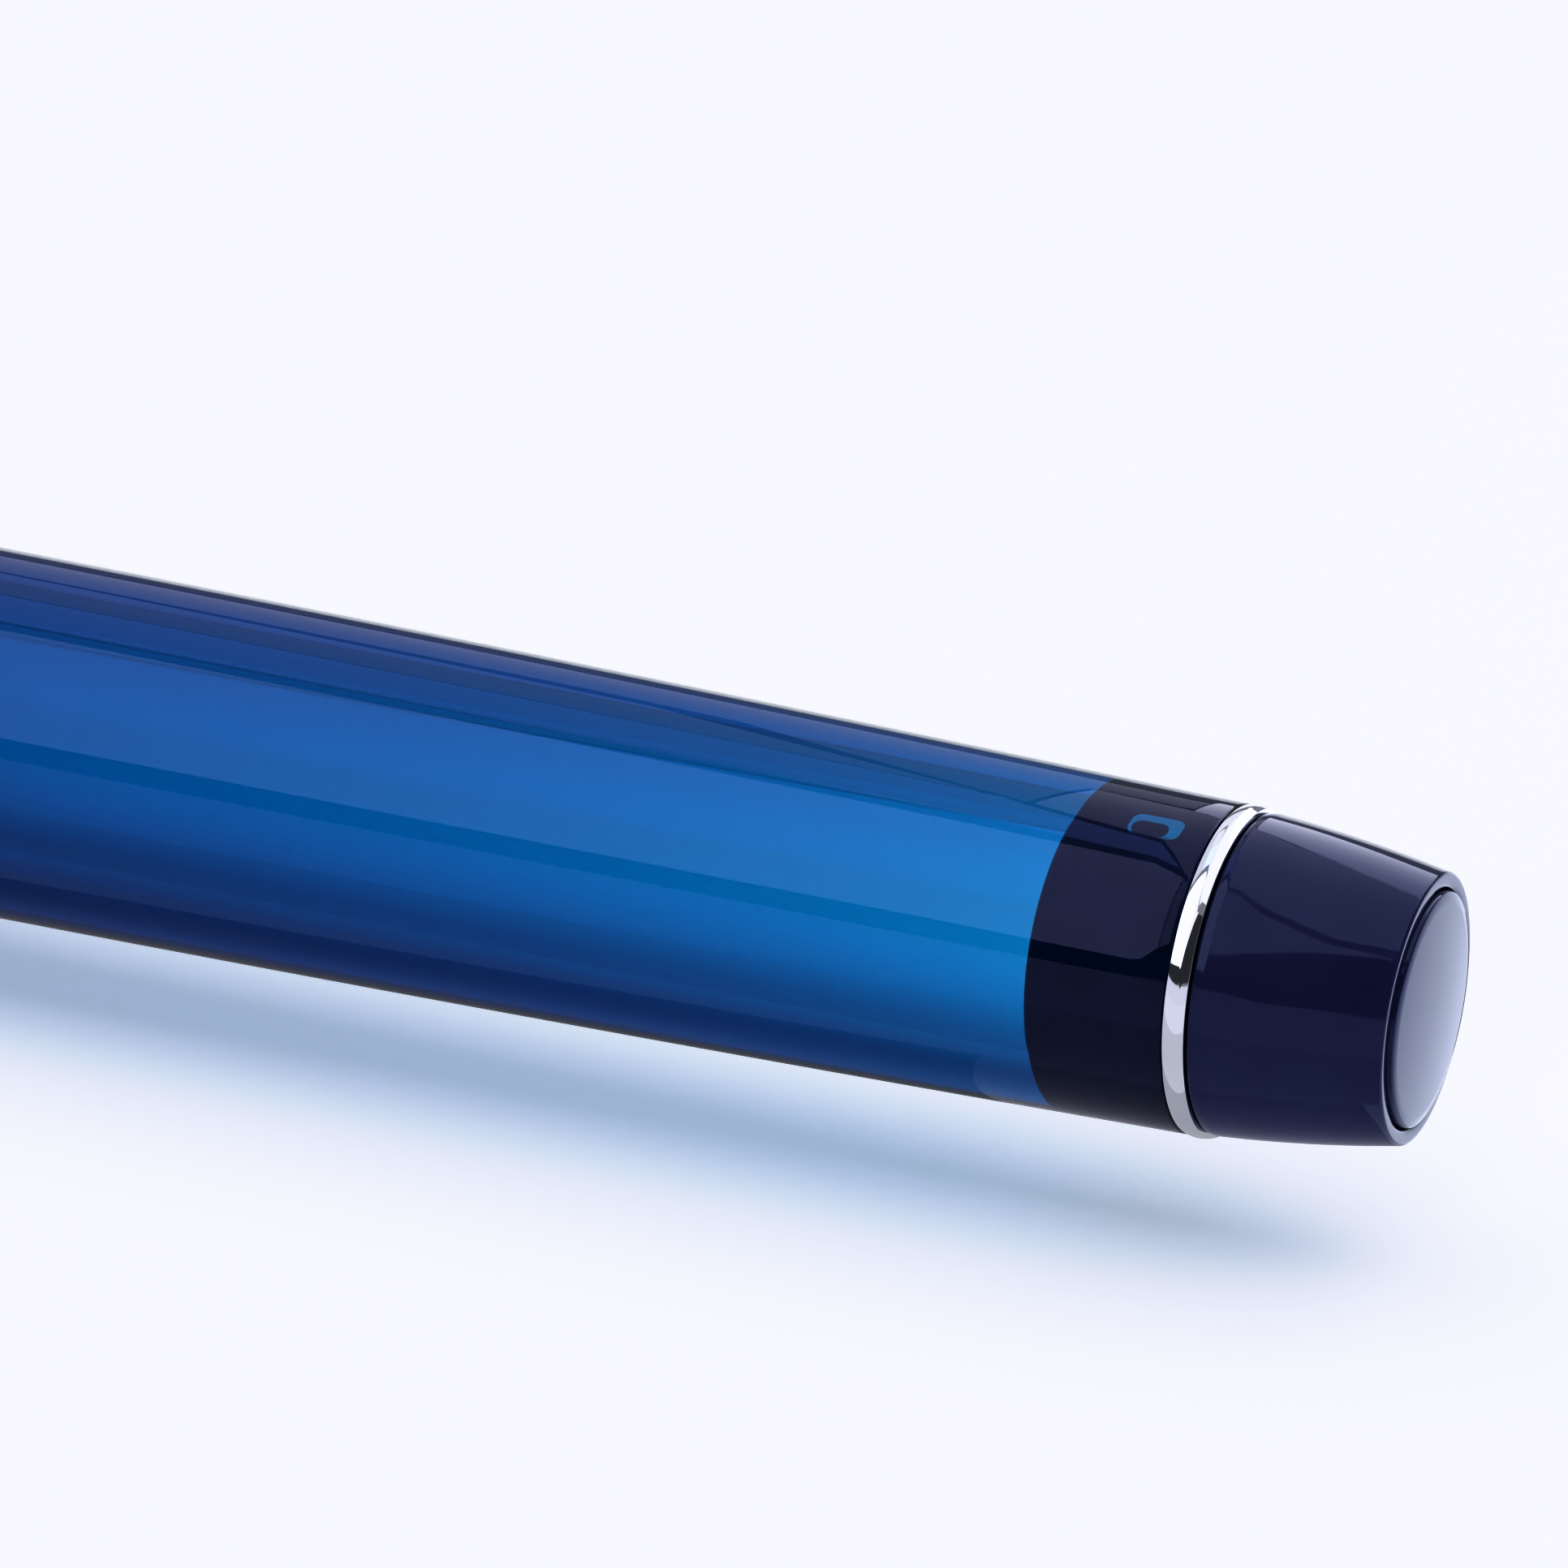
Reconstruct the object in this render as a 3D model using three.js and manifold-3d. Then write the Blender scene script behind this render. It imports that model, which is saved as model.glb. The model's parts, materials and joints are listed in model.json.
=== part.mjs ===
// Cartridge rollerball pen with a clear tinted barrel, lying on its side with the cap on.
// Millimetres. The pen's axis is world X, its tail end face is at x = 0 and its cap points to -X.
// Every profile below is [radius, station], and a station is the distance ahead of the tail face.
import * as THREE from 'three';
import { mergeVertices } from 'three/addons/utils/BufferGeometryUtils.js';
import Module from 'manifold-3d';

const wasm = await Module();
wasm.setup();

// ---- Driving dimensions ----
const RING_RADIUS = 5.5;          // chrome ring at the tail, a little proud of the barrel
const TAIL_BARREL_RADIUS = 5.45;  // barrel where it meets the ring
const BARREL_SWELL = 0.0304;      // growth of the barrel's radius per mm ahead of the ring
const BARREL_CROWN = 0.00018;     // curvature that turns the swell into a cigar shape
const TAIL_BORE_RADIUS = 3.9;     // barrel bore at the tail
const BORE_DRAFT = 0.004;         // the moulded bore widens by this per mm towards the front
const CONE_REAR_RADIUS = 4.46;    // tail cone at its rim
const CONE_FRONT_RADIUS = 5.31;   // tail cone beside the ring
const CONE_BULGE = 0.09;          // the cone stands out this far past a straight taper, halfway along
const NECK_RADIUS = 5.7;          // stepped-down neck that the cap slides over
const CAP_RADIUS = 7.25;          // cap just ahead of its band
const BAND_RADIUS = 7.32;         // cap band, the lowest point when the pen lies down
const CAP_TOP_RADIUS = 6.72;
const CLIP_ANGLE = 40;            // degrees below the horizontal, on the -Y side
const WRITING_BALL_RADIUS = 0.35;
const FIT = 0.04;                 // gap between two coaxial faces that touch in the real pen
const SIDES = 32;                 // facets round the outer pieces
const FINE_SIDES = 20;            // facets round the small inner pieces

const STATION = {
  rim: 0.32,
  coneRear: 0.38,
  coneShoulder: 6.3,
  coneFront: 6.54,
  ringRear: 6.58,
  ringFront: 7.3,
  barrelRear: 7.34,
  windowMiddle: 9.65,
  sleeveFront: 12.4,
  capLip: 75.34,
  barrelStep: 75.3,
  bandRear: 76.65,
  bandFront: 81.6,
  barrelFront: 88.82,
  shoulder: 89.85,
  spigotStep: 96.4,
  gripFront: 119.56,
  noseFront: 124.4,
  ballCentre: 126.98,
  capBodyFront: 131.6,
  clipRingFront: 132.6,
  crownFront: 137,
  capTop: 137.3,
};

// ---- Materials ----
const finish = (color, roughness, metalness = 0, opacity = 1) =>
  new THREE.MeshStandardMaterial({ color, roughness, metalness, opacity, transparent: opacity < 1 });

const clearBlue = finish(0x1668b4, 0.05, 0, 0.5);
const navy = finish(0x141a3c, 0.12);
const chrome = finish(0xd6d8dc, 0.06, 1);
const steel = finish(0xa9adb3, 0.3, 1);
const brass = finish(0xb8944a, 0.3, 1);
const greyPlastic = finish(0x5b606c, 0.55);
const blackPlastic = finish(0x17181c, 0.5);
const cartridgePlastic = finish(0xdfe6ee, 0.35, 0, 0.6);
const ink = finish(0x0d1f7a, 0.1);
const fibre = finish(0x3346a0, 0.9);
const rubber = finish(0x202226, 0.8);
const carbide = finish(0x7c7f86, 0.15, 1);

// ---- Helpers ----
const pen = new THREE.Group();    // local +Y runs from the tail to the cap
pen.rotation.z = Math.PI / 2;

const radians = (degrees) => degrees * Math.PI / 180;
const range = (count) => Array.from({ length: count }, (_, index) => index);

function add(name, geometry, material, parent = pen) {
  const mesh = new THREE.Mesh(geometry, material);
  mesh.name = name;
  parent.add(mesh);
  return mesh;
}

// A profile runs anticlockwise, and starts and ends on the axis or closes on itself.
function lathe(profile, sides = SIDES) {
  const points = profile.map(([radius, station]) => new THREE.Vector2(radius, station));
  if (profile[0][0] > 0) points.push(points[0].clone());
  return new THREE.LatheGeometry(points, sides);
}

function turned(name, profile, material, sides = SIDES) {
  return add(name, lathe(profile, sides), material);
}

// A plain ring between two radii and two stations, with its outer edges eased by a small chamfer.
function collar(name, inner, outer, rear, front, material, ease = 0.12) {
  return turned(name, [
    [inner, rear], [outer - ease, rear], [outer, rear + ease], [outer, front - ease],
    [outer - ease, front], [inner, front],
  ], material);
}

function solidOf(geometry) {
  const bare = geometry.clone();
  bare.deleteAttribute('normal');
  bare.deleteAttribute('uv');
  const merged = mergeVertices(bare, 1e-4);
  return new wasm.Manifold(new wasm.Mesh({
    numProp: 3,
    vertProperties: Float32Array.from(merged.attributes.position.array),
    triVerts: Uint32Array.from(merged.index.array),
  }));
}

function geometryOf(solid) {
  const mesh = solid.getMesh();
  const geometry = new THREE.BufferGeometry();
  geometry.setAttribute('position', new THREE.BufferAttribute(mesh.vertProperties, 3));
  geometry.setIndex(new THREE.BufferAttribute(mesh.triVerts, 1));
  return geometry;
}

// A block with rounded ends, centred on the pen's axis and running through it along Z.
function roundedBlock(width, length, depth, corner, station) {
  const x = width / 2;
  const y = length / 2;
  const outline = new THREE.Shape();
  outline.moveTo(x - corner, -y);
  outline.absarc(x - corner, -y + corner, corner, -Math.PI / 2, 0);
  outline.absarc(x - corner, y - corner, corner, 0, Math.PI / 2);
  outline.absarc(-x + corner, y - corner, corner, Math.PI / 2, Math.PI);
  outline.absarc(-x + corner, -y + corner, corner, Math.PI, 1.5 * Math.PI);
  const block = new THREE.ExtrudeGeometry(outline, { depth, bevelEnabled: false, curveSegments: 3 });
  block.translate(0, station, -depth / 2);
  return block;
}

// ---- Barrel and tail ----
const barrelRadius = (station) => {
  const ahead = station - STATION.ringFront;
  return TAIL_BARREL_RADIUS + BARREL_SWELL * ahead - BARREL_CROWN * ahead * ahead;
};
const boreRadius = (station) => TAIL_BORE_RADIUS + BORE_DRAFT * (station - STATION.ringFront);

const BUSH_SEAT_RADIUS = 5.1;
const BUSH_SEAT_REAR = 77;
const BUSH_BORE = 4.62;
const SEAL_SEAT_RADIUS = 5.25;
const SEAL_SEAT_REAR = 89;

function buildBarrel() {
  const spans = 8;
  const curveFront = STATION.barrelStep - 0.35;
  const curve = range(spans + 1).map((step) => {
    const station = STATION.barrelRear + (curveFront - STATION.barrelRear) * step / spans;
    return [barrelRadius(station), station];
  });
  turned('barrel_tube', [
    [boreRadius(STATION.barrelRear), STATION.barrelRear],
    ...curve,
    [barrelRadius(curveFront) - 0.3, STATION.barrelStep],
    [NECK_RADIUS, STATION.barrelStep],
    [NECK_RADIUS, STATION.barrelFront],
    [BUSH_SEAT_RADIUS, STATION.barrelFront],
    [BUSH_SEAT_RADIUS, BUSH_SEAT_REAR],
    [boreRadius(BUSH_SEAT_REAR), BUSH_SEAT_REAR],
  ], clearBlue);
}

const SLEEVE_INNER = 3.05;
const SLEEVE_REAR = 4.6;
const WINDOW = { width: 1, length: 1.75, corner: 0.35 };
const LUG = { width: 0.7, length: 1.2, corner: 0.3, ahead: 0.1, radius: 3.7, root: 2.4 };
const BUTTON_SEAT = { radius: 3.93, station: 1.3 };
const BUTTON_RADIUS = 3.86;
const STEM_RADIUS = 1.62;         // the button's stem, a push fit down the cone's middle
const STEM_BORE = 1.7;
const TENON_FRONT = 11.3;

const coneRadius = (station) => {
  const along = (station - STATION.coneRear) / (STATION.coneShoulder - STATION.coneRear);
  const taper = CONE_REAR_RADIUS + (CONE_FRONT_RADIUS - CONE_REAR_RADIUS) * along;
  return taper + CONE_BULGE * 4 * along * (1 - along);
};

function buildTail() {
  const sleeve = lathe([
    [SLEEVE_INNER, SLEEVE_REAR],
    [TAIL_BORE_RADIUS - FIT, SLEEVE_REAR],
    [TAIL_BORE_RADIUS - FIT, STATION.sleeveFront],
    [SLEEVE_INNER, STATION.sleeveFront],
  ]);
  const windows = roundedBlock(WINDOW.width, WINDOW.length, 12, WINDOW.corner, STATION.windowMiddle);
  add('tail_sleeve', geometryOf(solidOf(sleeve).subtract(solidOf(windows))), navy);

  turned('tail_ring', [
    [TAIL_BORE_RADIUS + FIT, STATION.ringRear], [RING_RADIUS - 0.12, STATION.ringRear],
    [RING_RADIUS - 0.03, STATION.ringRear + 0.14], [RING_RADIUS, STATION.ringRear + 0.36],
    [RING_RADIUS - 0.02, STATION.ringFront - 0.14], [RING_RADIUS - 0.1, STATION.ringFront],
    [TAIL_BORE_RADIUS + FIT, STATION.ringFront],
  ], chrome);

  const tenonRadius = SLEEVE_INNER - 0.08;
  const spans = 6;
  const curve = range(spans + 1).map((step) => {
    const station = STATION.coneRear + (STATION.coneShoulder - STATION.coneRear) * step / spans;
    return [coneRadius(station), station];
  });
  const cone = lathe([
    [STEM_BORE, BUTTON_SEAT.station],
    [BUTTON_SEAT.radius, BUTTON_SEAT.station],
    [BUTTON_SEAT.radius, STATION.rim],
    [CONE_REAR_RADIUS - 0.08, STATION.rim],
    ...curve,
    [CONE_FRONT_RADIUS - 0.03, STATION.coneFront],
    [TAIL_BORE_RADIUS + FIT, STATION.coneFront],
    [TAIL_BORE_RADIUS + FIT, SLEEVE_REAR - FIT],
    [tenonRadius, SLEEVE_REAR - FIT],
    [tenonRadius, TENON_FRONT],
    [STEM_BORE, TENON_FRONT],
  ]);
  const lugMiddle = STATION.windowMiddle + LUG.ahead;
  const lugOuter = roundedBlock(LUG.width, LUG.length, 2 * LUG.radius, LUG.corner, lugMiddle);
  const lugHollow = new THREE.CylinderGeometry(LUG.root, LUG.root, 3 * WINDOW.length, 24);
  const lugs = solidOf(lugOuter).subtract(solidOf(lugHollow.translate(0, lugMiddle, 0)));
  add('tail_cone', geometryOf(solidOf(cone).add(lugs)), navy);

  turned('tail_button', [
    [0, 0], [1.5, 0], [2.8, 0.06], [BUTTON_RADIUS - 0.16, 0.14], [BUTTON_RADIUS, 0.24],
    [BUTTON_RADIUS, BUTTON_SEAT.station - FIT], [STEM_RADIUS, BUTTON_SEAT.station - FIT],
    [STEM_RADIUS, 4.4], [0, 4.4],
  ], navy);

  turned('barrel_bush', [
    [BUSH_BORE, BUSH_SEAT_REAR + 0.1],
    [BUSH_SEAT_RADIUS - FIT, BUSH_SEAT_REAR + 0.1],
    [BUSH_SEAT_RADIUS - FIT, STATION.barrelFront + FIT],
    [NECK_RADIUS - 0.1, STATION.barrelFront + FIT],
    [NECK_RADIUS, STATION.barrelFront + 0.16],
    [NECK_RADIUS - 0.1, STATION.shoulder - FIT],
    [SEAL_SEAT_RADIUS, STATION.shoulder - FIT],
    [SEAL_SEAT_RADIUS, SEAL_SEAT_REAR],
    [BUSH_BORE, SEAL_SEAT_REAR],
  ], brass);
}

// ---- Writing section ----
const FEED_RADIUS = 2.85;
const SECTION_BORE = 3.85;

function buildSection() {
  turned('section_grip', [
    [SECTION_BORE, 78.6], [4.56, 78.6], [4.56, STATION.shoulder],
    [5.55, STATION.shoulder], [5.65, 90.1], [5.65, 91.2], [5.25, 91.7],
    [5.1, 94], [4.72, 101], [4.5, 108], [4.46, 114], [4.62, 118.2], [4.6, 119], [4.4, STATION.gripFront],
    [3.65, STATION.gripFront], [3.65, 116.2], [2.95, 116.2], [2.95, STATION.spigotStep],
    [SECTION_BORE, STATION.spigotStep],
  ], blackPlastic);
  turned('section_o_ring', [
    [4.6, 89.2], [4.75, 89.06], [5.05, 89.06], [5.2, 89.2], [5.2, 89.6], [5.05, 89.78],
    [4.75, 89.78], [4.6, 89.6],
  ], rubber);
  turned('nose_cone', [
    [2.75, 116.3], [3.6, 116.3], [3.6, STATION.gripFront + FIT], [4.4, STATION.gripFront + FIT],
    [4.28, 120.3], [3.45, 122.2], [2.5, 123.7], [1.6, STATION.noseFront],
    [1.2, STATION.noseFront], [1.2, 120.6], [2.75, 120.6],
  ], chrome);
  buildFeed();
  turned('ink_wick', [[0, 93], [0.72, 93], [0.72, 124.3], [0, 124.3]], fibre, FINE_SIDES);
  turned('cartridge_spigot', [
    [0.85, 92.4], [1.2, 92.4], [1.35, 92.9], [1.35, 95.9], [3.75, 95.9],
    [3.75, STATION.spigotStep - FIT], [0.85, STATION.spigotStep - FIT],
  ], blackPlastic, FINE_SIDES);
  turned('ball_tip', [
    [0.75, 117.5], [1.15, 117.5], [1.15, 124.7], [0.92, 125.1], [0.8, 125.9], [0.47, 127.08],
    [0.38, 127.1], [0.38, 126.6], [0.2, 126.5], [0.2, 124.6], [0.75, 124.6],
  ], steel, FINE_SIDES);
  const ball = new THREE.SphereGeometry(WRITING_BALL_RADIUS, 12, 8);
  add('writing_ball', ball, carbide).position.y = STATION.ballCentre;
}

// The feed is a comb of fins that buffers ink round a hollow core.
function buildFeed() {
  const finCount = 6;
  const pitch = 2.8;
  const firstGroove = 98.2;
  const grooveWidth = 1.5;
  const grooves = range(finCount).flatMap((fin) => {
    const rear = firstGroove + pitch * fin;
    return [
      [FEED_RADIUS, rear], [1.8, rear], [1.8, rear + grooveWidth], [FEED_RADIUS, rear + grooveWidth],
    ];
  });
  turned('feed_comb', [
    [0.8, 96.5], [FEED_RADIUS, 96.5], ...grooves, [FEED_RADIUS, 116.1], [2.65, 116.15],
    [2.65, 120.5], [1.2, 120.5], [1.2, 117.4], [0.8, 117.4],
  ], blackPlastic, FINE_SIDES);
}

// ---- Ink cartridge ----
const CARTRIDGE_RADIUS = 3.7;
const CARTRIDGE_REAR = 58;
const CARTRIDGE_BORE = 3.35;

function buildCartridge() {
  turned('cartridge_shell', [
    [0, CARTRIDGE_REAR], [CARTRIDGE_RADIUS - 0.4, CARTRIDGE_REAR],
    [CARTRIDGE_RADIUS, CARTRIDGE_REAR + 0.5], [CARTRIDGE_RADIUS, 90.3], [2.6, 91.9], [2.6, 95.7],
    [1.5, 95.7], [1.5, 91.6], [CARTRIDGE_BORE, 90], [CARTRIDGE_BORE, CARTRIDGE_REAR + 1],
    [0, CARTRIDGE_REAR + 1],
  ], cartridgePlastic, 24);
  const inkRadius = CARTRIDGE_BORE - 0.06;
  turned('cartridge_ink', [[0, 59.1], [inkRadius, 59.1], [inkRadius, 84.5], [0, 84.5]], ink, 24);
  const stopperRadius = 1.35;
  const stopper = new THREE.SphereGeometry(stopperRadius, 12, 8);
  add('cartridge_stopper_ball', stopper, steel).position.set(0, 87.3, -1.9);
}

// ---- Cap ----
const LINER_RADIUS = 6.3;
const LINER_BORE = 5.9;
const CROWN_RADIUS = 6.58;

function buildCap() {
  turned('cap_body', [
    [LINER_RADIUS + 0.05, STATION.bandRear], [6.9, STATION.bandRear], [6.9, STATION.bandFront + 0.02],
    [CAP_RADIUS, STATION.bandFront + 0.02], [CAP_RADIUS - 0.02, 90], [7.14, 104], [6.94, 118],
    [CAP_TOP_RADIUS, STATION.capBodyFront],
    [2.95, STATION.capBodyFront], [2.95, 130.05], [5.7, 128.75], [LINER_RADIUS + 0.05, 127.4],
  ], navy);
  collar('cap_lip_ring', 5.95, 7.15, STATION.capLip, STATION.bandRear - FIT, chrome, 0.25);
  collar('cap_band', 6.95, BAND_RADIUS, STATION.bandRear, STATION.bandFront - FIT, chrome, 0.08);
  const linerRear = STATION.bandRear + 0.05;
  turned('cap_liner', [
    [0, 128.9], [2, 128.9], [2, 126], [2.6, 125.2], [5.45, 121], [5.45, 93], [LINER_BORE, 92.6],
    [LINER_BORE, 92.2], [6.08, 92.2], [6.08, 91.4], [LINER_BORE, 91.4], [LINER_BORE, linerRear],
    [LINER_RADIUS, linerRear], [LINER_RADIUS, 127.2],
    [5.6, 128.6], [2.9, 129.85], [2.9, 131.5], [1.1, 131.5], [1.1, 129.9], [0, 129.9],
  ], greyPlastic);
  collar('cap_snap_ring', 5.74, 6.04, 91.5, 92.1, steel, 0.1);
  turned('tip_seal_pad', [[0, 127.75], [1.9, 127.75], [1.9, 128.85], [0, 128.85]], rubber, FINE_SIDES);
  collar('clip_ring', 1.2, CAP_TOP_RADIUS + 0.06, STATION.capBodyFront + FIT, STATION.clipRingFront,
    chrome);
  turned('crown_screw', [
    [0, 130], [1.05, 130], [1.05, 134.05], [2.4, 134.05], [2.4, 135.4], [0, 135.4],
  ], steel, FINE_SIDES);
  turned('cap_crown', [
    [1.15, STATION.clipRingFront + FIT], [CROWN_RADIUS, STATION.clipRingFront + FIT],
    [CROWN_RADIUS, 132.95],
    [5.1, 136.7], [4.9, 136.95], [4.6, STATION.crownFront], [4.6, 135.9], [2.5, 135.9], [2.5, 134],
    [1.15, 134],
  ], navy);
  turned('crown_button', [
    [0, 135.95], [4.52, 135.95], [4.52, 136.95], [4.3, 137.2], [3.3, STATION.capTop],
    [0, STATION.capTop],
  ], navy);
}

// The clip is drawn standing out along +X, then turned about the pen's axis.
const CLIP = {
  width: 3.2,
  taper: 0.72,                    // width at the free end over width at the root
  root: 132.5,
  end: 100.6,
  bend: 115,                      // the middle of the arm's slow curve
  foot: 6.83,                     // the root starts at this radius, beside the clip ring
  outer: 9.3,
  inner: 8.5,
  ballRadius: 1.15,
};

function buildClip() {
  const clip = new THREE.Group();
  clip.rotation.y = Math.PI - radians(CLIP_ANGLE);
  pen.add(clip);
  const shank = CLIP.root - 0.75;
  const outline = new THREE.Shape();
  outline.moveTo(CLIP.foot, shank);
  outline.lineTo(CLIP.foot, CLIP.root);
  outline.lineTo(CLIP.outer - 0.6, CLIP.root);
  outline.quadraticCurveTo(CLIP.outer, CLIP.root, CLIP.outer, CLIP.root - 0.9);
  outline.quadraticCurveTo(CLIP.outer - 0.05, CLIP.bend, CLIP.outer - 0.68, CLIP.end);
  outline.lineTo(CLIP.inner - 0.55, CLIP.end);
  outline.quadraticCurveTo(CLIP.inner - 0.05, CLIP.bend, CLIP.inner, shank - 0.85);
  outline.quadraticCurveTo(CLIP.inner, shank, CLIP.inner - 0.6, shank);
  outline.closePath();
  const arm = new THREE.ExtrudeGeometry(outline, {
    depth: CLIP.width, bevelEnabled: false, curveSegments: 8,
  });
  arm.translate(0, 0, -CLIP.width / 2);
  const place = arm.attributes.position;
  for (const index of range(place.count)) {
    const along = (CLIP.root - place.getY(index)) / (CLIP.root - CLIP.end);
    place.setZ(index, place.getZ(index) * (1 - (1 - CLIP.taper) * along));
  }
  add('clip_arm', arm, chrome, clip);
  const ball = new THREE.SphereGeometry(CLIP.ballRadius, 16, 10);
  add('clip_ball', ball, chrome, clip).position.set(8.38, CLIP.end - 0.06 - CLIP.ballRadius, 0);
}

buildBarrel();
buildTail();
buildSection();
buildCartridge();
buildCap();
buildClip();

export default pen;
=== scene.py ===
"""The looks of the rollerball pen: fine meshes, materials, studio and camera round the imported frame."""
import json
import math

import bmesh
import bpy
from mathutils import Matrix, Vector


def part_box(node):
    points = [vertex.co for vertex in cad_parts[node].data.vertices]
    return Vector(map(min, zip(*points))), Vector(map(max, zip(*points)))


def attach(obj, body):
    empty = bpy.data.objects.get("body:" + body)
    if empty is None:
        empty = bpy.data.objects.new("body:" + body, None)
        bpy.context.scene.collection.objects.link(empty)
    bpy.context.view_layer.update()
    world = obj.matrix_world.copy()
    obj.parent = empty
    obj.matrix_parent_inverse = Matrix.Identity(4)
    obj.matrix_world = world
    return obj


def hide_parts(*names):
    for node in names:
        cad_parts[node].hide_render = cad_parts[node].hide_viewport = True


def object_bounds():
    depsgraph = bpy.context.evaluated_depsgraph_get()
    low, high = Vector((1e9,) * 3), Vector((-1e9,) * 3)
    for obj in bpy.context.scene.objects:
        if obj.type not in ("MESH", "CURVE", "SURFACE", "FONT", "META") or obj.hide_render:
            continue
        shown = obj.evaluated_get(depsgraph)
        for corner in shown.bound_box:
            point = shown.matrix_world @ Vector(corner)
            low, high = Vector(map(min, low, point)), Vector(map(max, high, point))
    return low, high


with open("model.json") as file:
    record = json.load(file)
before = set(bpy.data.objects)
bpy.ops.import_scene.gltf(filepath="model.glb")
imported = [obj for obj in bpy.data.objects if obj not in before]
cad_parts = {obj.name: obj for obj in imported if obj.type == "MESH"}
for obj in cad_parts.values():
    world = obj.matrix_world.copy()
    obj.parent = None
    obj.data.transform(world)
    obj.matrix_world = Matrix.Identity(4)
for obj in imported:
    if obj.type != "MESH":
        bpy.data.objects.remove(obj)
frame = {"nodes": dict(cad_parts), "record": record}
cad_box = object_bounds()

MM = 0.001
AXIS_POINT = 1e-6                  # a radius below this is on the pen's axis
SIDES = 256                        # facets round an outer piece
FINE_SIDES = 128                   # facets round a small piece
CONTACT = 0.003 * MM               # overlap of two faces that touch with no air between them

nodes = frame["nodes"]
record = frame["record"]
body_of = {node: body for body, members in record["behaviour"]["bodies"].items() for node in members}


# ---- Profiles, read from the frame ----
def meridian(node):
    """The (x, radius) points round a turned node's section, in order, read where it crosses z = 0 on +Y."""
    mesh = nodes[node].data
    place = {
        v.index: (round(v.co.x, 7), round(v.co.y, 7))
        for v in mesh.vertices
        if abs(v.co.z) < AXIS_POINT and v.co.y > -AXIS_POINT
    }
    near = {}
    for edge in mesh.edges:
        a, b = (place.get(index) for index in edge.vertices)
        if a and b and a != b:
            near.setdefault(a, set()).add(b)
            near.setdefault(b, set()).add(a)
    ends = sorted(point for point in near if len(near[point]) == 1)
    here = ends[0] if ends else min(near)
    profile = [here]
    while True:
        ahead = [point for point in sorted(near[here]) if point not in profile]
        if not ahead:
            return profile
        here = ahead[0]
        profile.append(here)


def is_ring(profile):
    """True for a section that closes on itself, and false for one that starts and ends on the axis."""
    return min(radius for x, radius in (profile[0], profile[-1])) > AXIS_POINT


def eased(profile, radius, steps=4, shallow=math.radians(18), side_share=0.42):
    """The profile with each real corner rounded to about this radius, or less where its sides are short."""
    points = [Vector(point) for point in profile]
    ring = is_ring(profile)
    out = []
    for index, corner in enumerate(points):
        if not ring and index in (0, len(points) - 1):
            out.append(corner)
            continue
        before = points[index - 1] - corner
        after = points[(index + 1) % len(points)] - corner
        turn = math.pi - before.angle(after)
        if turn < shallow:
            out.append(corner)
            continue
        cut = min(radius * math.tan(turn / 2), side_share * before.length, side_share * after.length)
        start = corner + before.normalized() * cut
        end = corner + after.normalized() * cut
        for step in range(steps + 1):
            t = step / steps
            out.append(start * (1 - t) ** 2 + corner * 2 * t * (1 - t) + end * t ** 2)
    return [tuple(point) for point in out]


def arc_between(start, end, bulge, steps=24):
    """Points on a shallow arch from start to end that stands proud of the chord by bulge at its middle."""
    a, b = Vector(start), Vector(end)
    out_of = Vector((-(b - a).y, (b - a).x)).normalized()
    if out_of.y < 0:
        out_of = -out_of
    return [
        tuple(a.lerp(b, step / steps) + out_of * bulge * (1 - (2 * step / steps - 1) ** 2))
        for step in range(steps + 1)
    ]


def bends_gently(before, corner, after, shallow=math.radians(4), shortest=MM / 4):
    """True where a curve passes through a corner: a slight turn between two sides that are both long."""
    arrives, leaves = corner - before, after - corner
    return min(arrives.length, leaves.length) > shortest and 0 < arrives.angle(leaves) < shallow


def between(start, end, lead, tail, t):
    """The point at share t of a smooth curve that leaves start along lead and reaches end along tail."""
    return (
        start * (2 * t ** 3 - 3 * t ** 2 + 1) + lead * (t ** 3 - 2 * t ** 2 + t)
        + end * (3 * t ** 2 - 2 * t ** 3) + tail * (t ** 3 - t ** 2)
    )


def refined(profile, steps=6):
    """The profile with a smooth curve through each run of points that turns only a little."""
    points = [Vector(point) for point in profile]
    count = len(points)
    out = []
    for index, here in enumerate(points):
        before, following, beyond = (points[(index + step) % count] for step in (-1, 1, 2))
        out.append(tuple(here))
        curved_here = bends_gently(before, here, following)
        curved_ahead = bends_gently(here, following, beyond)
        if not (curved_here or curved_ahead):
            continue
        lead = (following - before) / 2 if curved_here else following - here
        tail = (beyond - here) / 2 if curved_ahead else following - here
        out.extend(tuple(between(here, following, lead, tail, step / steps)) for step in range(1, steps))
    return out


# ---- Meshes ----
def placed(name, data):
    """A new object in the scene with this mesh, lamp or camera."""
    made = bpy.data.objects.new(name, data)
    bpy.context.scene.collection.objects.link(made)
    return made


def mesh_of(form, name):
    """The form's shape as a mesh. The form is freed."""
    mesh = bpy.data.meshes.new(name)
    form.to_mesh(mesh)
    form.free()
    return mesh


def show(name, mesh, material, body, *replaced):
    """A finished mesh as a piece on a body, standing for these CAD nodes, which it hides."""
    piece = placed(name, mesh)
    mesh.materials.append(material)
    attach(piece, body)
    if replaced:
        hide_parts(*replaced)
    return piece


def smooth(mesh, crease=math.radians(35)):
    """The mesh with its faces shaded as one surface, but for the edges sharper than the crease."""
    for polygon in mesh.polygons:
        polygon.use_smooth = True
    mesh.set_sharp_from_angle(angle=crease)
    return mesh


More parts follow.
